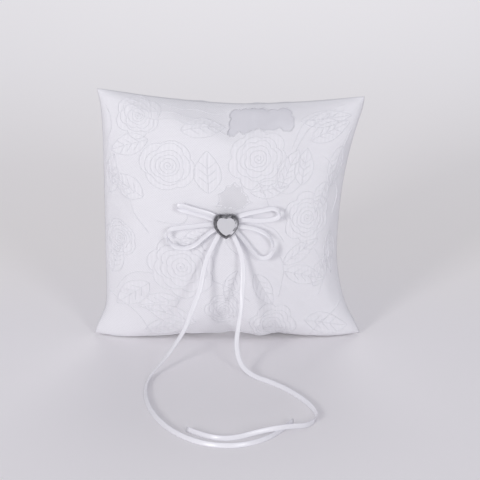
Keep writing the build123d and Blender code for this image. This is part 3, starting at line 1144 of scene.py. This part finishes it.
# %% Facets: pavilion, girdle, two rows of crown facets and the table
rings = [
    heart_ring(0.88, 0.0),
    heart_ring(1.0, 1.0),
    heart_ring(1.0, 1.5),
    heart_ring(0.93, 3.0, between=True),
    heart_ring(0.77, 4.45, rise=0.05),
]
# Painted reflections: each facet's share between near black and pale grey in its colour.
BACK_REFLECTION, GIRDLE_REFLECTION, TABLE_REFLECTION = 0.1, 0.12, 0.72
SIDE_REFLECTIONS = [  # clockwise from the notch at the top
    0.16, 0.35, 0.05, 0.22, 0.5, 0.75, 0.3, 0.9, 0.08, 0.02, 0.015, 0.02, 0.03, 0.1, 0.04, 0.2, 0.06, 0.3,
]
count = len(heart)
stone_points = [p for ring in rings for p in ring]
stone_faces = [list(range(count))]
facet_reflections = [BACK_REFLECTION]
for level in range(4):
    for i in range(count):
        j = (i + 1) % count
        a, b = level * count + i, level * count + j
        c, d = a + count, b + count
        if level < 2:
            stone_faces.append([a, c, d, b])
            facet_reflections.append(GIRDLE_REFLECTION)
        elif level == 2:
            stone_faces += [[a, c, b], [b, c, d]]
            facet_reflections += [SIDE_REFLECTIONS[i], 0.6 * SIDE_REFLECTIONS[j]]
        else:
            stone_faces += [[a, d, b], [a, c, d]]
            facet_reflections += [1.3 * SIDE_REFLECTIONS[j], SIDE_REFLECTIONS[i]]
table = [4 * count + i for i in range(count)]
stone_faces.append(table[::-1])
facet_reflections.append(TABLE_REFLECTION)
stone = mesh_piece("heart_stone", stone_points, stone_faces, smooth=False)
shell = bmesh.new()
shell.from_mesh(stone.data)
bmesh.ops.recalc_face_normals(shell, faces=shell.faces)
shell.to_mesh(stone.data)
shell.free()
facet_tone = stone.data.attributes.new("facet_tone", "FLOAT", "FACE")
facet_tone.data.foreach_set("value", facet_reflections)


# %% Stone, foil and metal finishes
def stone_finish():
    finish = Finish("foil_backed_stone")
    # The facet's painted reflection picks its colour between near black and pale grey.
    painted_light_tone = finish.painted("facet_tone")
    shade = finish.blend(painted_light_tone, (0.015, 0.015, 0.02, 1), (0.9, 0.9, 0.93, 1))
    return finish.surface(
        Base_Color=shade, Roughness=0.12 + painted_light_tone * 0.1,
        Coat_Weight=0.6, Coat_Roughness=0.03,
    )


def metal_finish(name, dark, pale, roughness):
    finish = Finish(name)
    place = finish.place()
    wear = finish.noise(place, 700, 3)
    return finish.surface(
        Base_Color=finish.blend(wear, dark, pale), Metallic=1.0, Roughness=roughness + wear * 0.15,
        Normal=finish.bump(wear, 0.03 * MM, 0.3),
    )


stone.data.materials.append(stone_finish())
in_place(stone, "stone", "gem_stone")
metal = metal_finish("setting_metal", (0.18, 0.18, 0.19, 1), (0.4, 0.4, 0.42, 1), 0.22)
foil = metal_finish("foil", (0.6, 0.6, 0.62, 1), (0.8, 0.8, 0.82, 1), 0.1)
kept = {
    "gem_setting": metal, "gem_foil": foil, "bow_centre": ribbon, "bow_binding_thread": thread,
    "tack_stitches": thread, "shank_tie_thread": thread, "closing_knot": thread,
}
for node, finish in kept.items():
    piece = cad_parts[node]
    for slot in piece.material_slots:
        slot.material = finish
print("kept as they are:", sorted(kept))

# %% [markdown]
# ## Floor and light
# Two soft boxes stand low in front, one on each side, the left one stronger. They leave
# the top of the pillow a little darker and lay a soft shadow behind each ribbon. A third
# lights the paper behind the pillow.

# %% Floor
FLOOR_HALF = 4


def floor_finish():
    finish = Finish("backdrop_paper")
    place = finish.place()
    _, y, _ = finish.parted(place)
    # Painted light and shade: the paper is greyer in front, warmer just behind the pillow, and brightest far
    # back.
    painted_band_share = y.fade(-0.02, 0.22)
    painted_brightening_share = y.fade(0.22, 0.9)
    painted_band_colour = finish.blend(painted_band_share, (0.925, 0.905, 0.92, 1), (0.945, 0.92, 0.905, 1))
    painted_light_tone = finish.blend(painted_brightening_share, painted_band_colour, (0.98, 0.965, 0.965, 1))
    grain = finish.noise(place, 600, 2)
    return finish.surface(Base_Color=painted_light_tone, Roughness=0.85 + grain * 0.05)


floor_corners = [(x * FLOOR_HALF, y * FLOOR_HALF, 0) for x, y in ((-1, -1), (1, -1), (1, 1), (-1, 1))]
floor = mesh_piece("floor", floor_corners, [[0, 1, 2, 3]], smooth=False)
floor.data.materials.append(floor_finish())


# %% Lights
def soft_box(name, place, size, power, colour, aim_at=(0, 0, 0.09)):
    data = bpy.data.lights.new(name, "AREA")
    data.energy = power
    data.size = size
    data.color = colour
    lamp = linked(name, data)
    lamp.location = place
    lamp.rotation_euler = (Vector(aim_at) - Vector(place)).to_track_quat("-Z", "Y").to_euler()


soft_box("left_box", (-1.25, -1.9, 0.75), 0.5, 16.4, (1, 0.985, 0.985))
soft_box("right_box", (1.0, -2.0, 0.8), 0.5, 9.6, (0.98, 0.985, 1))
soft_box("back_box", (0.1, 1.5, 1.3), 1.0, 7.3, (1, 1, 1), aim_at=(-0.3, 0.95, 0))
world = bpy.data.worlds.new("studio")
bpy.context.scene.world = world
world.use_nodes = True
sky = world.node_tree.nodes["Background"].inputs
sky["Color"].default_value = (0.93, 0.925, 1, 1)
sky["Strength"].default_value = 0.47
bpy.context.scene.view_settings.view_transform = "Standard"
